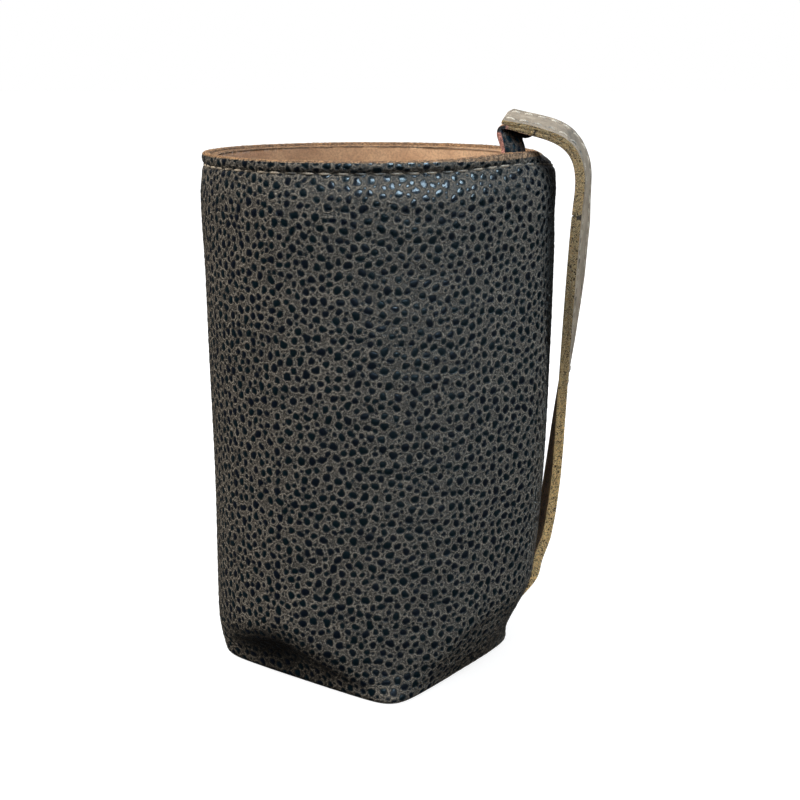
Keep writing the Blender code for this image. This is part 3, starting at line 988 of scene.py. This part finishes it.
# Painted shade: the cut edge at the joint of the layers is darkened, for the notch there
notch_shade = 0.62 * peak(np.arange(len(strap)), joint + 1.2, 1.5)
faces_of = (strap_smooth, edge_gold, lining_suede)
over = layer("strap_outer_layer", strap, 0.0, skin, faces_of, seed=31, edge_tone_and_shade=notch_shade, mark=marks)
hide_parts("strap_outer")
faces_of = (lining_suede, edge_gold, back_brown)
below_joint = slice(joint + 1, None)
low_part = layer("strap_lower_backing", strap[below_joint], -skin[below_joint], 0.0, faces_of, seed=37)
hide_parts("strap_inner_low")


def tab_grid(under, columns):
    """The strap's inner layer where it comes up inside the rim, narrower there, and folds over."""
    inset = SHELL + CLEARANCE + 0.5 * SKIN
    around = TAB_NEAR + (TAB_FAR - TAB_NEAR) * np.linspace(0.0, 1.0, columns)
    tops = rim_height(around)
    rows = []
    for depth in np.linspace(0.0070, -0.0006, 22):
        z = tops - depth
        held = wall_radius(around, np.minimum(z, tops)) - inset
        rows.append(around_axis(around, held, z))
    start = rows[-1]
    ahead = under[1] - under[0]
    ahead = ahead / np.linalg.norm(ahead, axis=1, keepdims=True)
    leaves = start + np.array((-0.0008, 0.0, 0.0034))
    arrives = under[0] - 0.0034 * ahead - (0.0, 0.0, 0.0004)
    curve = (start, leaves, arrives, under[0])
    bulge = np.linspace(0.0, 1.0, columns)[:, None] ** 1.5 * np.array((0.0042, 0.0, -0.0012))
    for t in np.linspace(0.0, 1.0, 41)[1:-1]:
        rows.append(bezier(curve, t) + bulge * sin(pi * float(ease(0.10, 0.80, t))) ** 2)
    return np.array(rows)


centre = strap - (0.5 * skin)[:, None, None] * strap_out
tab = tab_grid(centre[first:], WIDE)
upper = spread(np.concatenate((tab, centre[first : joint + 1])), STRAP_STEP)
upper_length = travelled_along(upper[:, WIDE // 2])
turned = upper_length[-1] - (strap_length[joint] - strap_length[first])
# The tab's cut edge is pink, then near black just before the strap's end: painted shade under it
tab_tone_and_shade = 0.5 + 0.5 * ease(turned - 0.0052, turned - 0.0034, upper_length)
tab_tone_and_shade = tab_tone_and_shade * ease(turned + 0.0012, turned - 0.0002, upper_length)
upper_skin = 0.5 * SKIN * (0.74 + 0.26 * ease(turned, turned + 0.006, upper_length))
upper_skin = upper_skin + 0.00022 * ease(turned - 0.0030, turned - 0.0060, upper_length)
faces_of = (lining_suede, edge_tab, shaded_pebbled_leather)
top_part = layer(
    "strap_tab_backing", upper, -upper_skin, upper_skin, faces_of, grained=True, seed=41, edge_tone_and_shade=tab_tone_and_shade
)
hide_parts("strap_inner_top")

# Stitches


def stitches(name, path, up, rise, material, pitch, fill, radius, sink, seed):
    """Short twisted threads laid end to end along a path, their ends sunk into the leather."""
    travelled = travelled_along(path)
    steps, sides = 13, 8
    rise = np.broadcast_to(rise, travelled.shape)
    rng = np.random.default_rng(seed)
    turns = np.arange(sides) * 2.0 * pi / sides
    points, faces = [], []
    for number in range(int(travelled[-1] / pitch + 0.01)):
        shares = np.linspace(0.0, 1.0, steps)
        drift, length, depth = rng.normal(0.0, 1.0, 3).clip(-2.0, 2.0)
        long = fill * (1.0 + 0.04 * length)
        at = pitch * (number + 0.5 * (1.0 - long) + 0.02 * drift) + shares * pitch * long
        line = np.stack([np.interp(at, travelled, path[:, axis]) for axis in range(3)], axis=-1)
        lift = np.stack([np.interp(at, travelled, up[:, axis]) for axis in range(3)], axis=-1)
        lift /= np.linalg.norm(lift, axis=1, keepdims=True)
        arch = np.sin(pi * np.clip(shares, 0.02, 0.98)) ** 0.45
        arch = -sink + (sink + np.interp(at, travelled, rise)) * arch
        line = line + (arch + 0.00004 * depth)[:, None] * lift
        ahead = np.gradient(line, axis=0)
        ahead /= np.linalg.norm(ahead, axis=1, keepdims=True)
        side = np.cross(ahead, lift)
        side /= np.linalg.norm(side, axis=1, keepdims=True)
        high = np.cross(side, ahead)
        base = number * steps * sides
        for step in range(steps):
            taper = 1.0 - 0.35 * abs(2.0 * shares[step] - 1.0) ** 4
            reach = radius * taper * (1.0 + 0.16 * np.cos(2.0 * (turns - 2.0 * pi * at[step] / 0.0012)))
            circle = np.cos(turns)[:, None] * side[step] + np.sin(turns)[:, None] * high[step]
            points.append(line[step] + reach[:, None] * circle)
        faces.append(quads(steps, sides, True) + base)
        for ring, way in ((base, 1), (base + (steps - 1) * sides, -1)):
            order = ring + np.arange(sides)[::way]
            faces.append(order[[[0, 1, 2, 3], [0, 3, 4, 7], [4, 5, 6, 7]]])
    return make(name, np.concatenate(points), np.concatenate(faces), [material])


rim_at = rim_height(azimuths) - STITCH_DEPTH
rim_radius = wall_radius(azimuths, rim_at) + soft_form(azimuths, rim_at)
path = around_axis(azimuths, rim_radius, rim_at)
path = np.concatenate((path, path[:1]))
out = around_axis(azimuths, 1.0, 0.0 * azimuths)
out = np.concatenate((out, out[:1]))
around = np.linalg.norm(np.diff(path, axis=0), axis=1).sum()
pitch = around / round(around / STITCH_PITCH)
rise = 0.00024 * mound(np.append(azimuths, 0.0), FRONT, radians(52.0)) - 0.00003
piece = stitches(
    "rim_stitches", path, out, rise, thread_taupe, pitch, fill=0.74, radius=0.00030, sink=0.0005, seed=51
)

sewn_to = int(np.searchsorted(strap_length, total_length - UNSEWN_END))
for name, column in zip(("strap_near_stitches", "strap_far_stitches"), THREAD_COLUMNS):
    face = strap[:, column] + skin[:, None] * strap_out[:, column]
    rise = 0.00022 * (1.0 - hanging) - 0.00014
    piece = stitches(
        name, face[:sewn_to], strap_out[:sewn_to, column], rise[:sewn_to], thread_pale, THREAD_PITCH,
        fill=THREAD_FILL, radius=0.00028, sink=0.0004, seed=53 + column,
    )

# Studio, seen by the camera as white wherever the sleeve's shadow doesn't fall

FLOOR_REACH = 6.0


def stage_floor():
    n = Nodes("pale floor", 0.9, Specular_IOR_Level=0.0)
    camera_ray = n.add("LightPath").outputs["Is Camera Ray"]
    n.out(Base_Color=n.mix(camera_ray, grey(0.05), grey(0.30)))
    far = n.add("VectorMath", {"operation": "LENGTH"}, i0=n.spot()).outputs["Value"]
    glow = n.times(camera_ray, n.span(far, 0.06, 0.30, 0.84, 1.0))
    n.out(Emission_Color=grey(1.0), Emission_Strength=glow)
    mesh = bpy.data.meshes.new("floor")
    corners = ((-1, -1), (1, -1), (1, 1), (-1, 1))
    mesh.from_pydata([(FLOOR_REACH * x, FLOOR_REACH * y, 0.0) for x, y in corners], [], [(0, 1, 2, 3)])
    mesh.materials.append(n.material)
    floor = bpy.data.objects.new("floor", mesh)
    bpy.context.scene.collection.objects.link(floor)


def world():
    made = bpy.data.worlds.new("studio")
    bpy.context.scene.world = made
    made.use_nodes = True
    n = Tree(made.node_tree)
    where = n.add("TexCoord").outputs["Generated"]
    rise = n.span(n.add("SeparateXYZ", Vector=where).outputs["Z"], 0.0, 0.75, linear=True)
    sky = n.mix(rise, grey(0.12), (0.56, 0.60, 0.64, 1.0))
    camera_ray = n.add("LightPath").outputs["Is Camera Ray"]
    back = n.tree.nodes["Background"]
    n.put(back.inputs["Color"], n.mix(camera_ray, sky, grey(1.0)))
    n.put(back.inputs["Strength"], 1.0)


# Each lamp: name, place, target, size, watts, colour, and the kind of light that it doesn't give
LAMPS = (
    ("key", (0.36, -0.34, 0.80), (0.0, 0.0, 0.10), (0.30, 0.24), 1.9, (0.92, 0.97, 1.0), "glossy"),
    ("sheen", (0.16, -0.27, 0.42), (0.01, -0.02, 0.11), (0.34, 0.24), 14.5, (0.62, 0.84, 1.0), "diffuse"),
    ("front", (-0.18, -0.82, 0.94), (0.0, 0.0, 0.06), (1.0, 0.8), 2.8, (1.0, 1.0, 0.99), "glossy"),
    ("left", (-0.80, -0.22, 0.82), (0.0, 0.0, 0.06), (0.6, 0.5), 16.8, (1.0, 0.97, 0.93), "glossy"),
    ("right", (0.70, -0.43, 0.14), (0.0, 0.0, 0.06), (0.5, 0.4), 3.0, (1.0, 0.98, 0.94), "glossy"),
)


def lamp(name, place, target, size, power, colour, unseen):
    data = bpy.data.lights.new(name, "AREA")
    data.shape = "RECTANGLE"
    data.size, data.size_y = size
    data.energy = power
    data.color = colour
    item = bpy.data.objects.new(name, data)
    item.location = place
    item.rotation_euler = (Vector(target) - Vector(place)).to_track_quat("-Z", "Y").to_euler()
    item.visible_glossy = unseen != "glossy"
    item.visible_diffuse = unseen != "diffuse"
    bpy.context.scene.collection.objects.link(item)


stage_floor()
world()
for row in LAMPS:
    lamp(*row)

# Camera, its focal length measured in pixels of the square photograph
IMAGE_PIXELS = 800.0
FOCAL_PIXELS = 1628.0
SENSOR_MM = 36.0
LOOKS_DOWN = radians(12.0)

camera = bpy.data.cameras.new("camera")
camera.sensor_width = SENSOR_MM
camera.lens = FOCAL_PIXELS / IMAGE_PIXELS * SENSOR_MM
camera.clip_start, camera.clip_end = 0.01, 20.0
view = bpy.data.objects.new("camera", camera)
view.location = (0.0070, -0.380, 0.1425)
view.rotation_euler = (0.5 * pi - LOOKS_DOWN, 0.0, 0.0)
bpy.context.scene.collection.objects.link(view)
bpy.context.scene.camera = view
bpy.context.scene.view_settings.view_transform = "Standard"
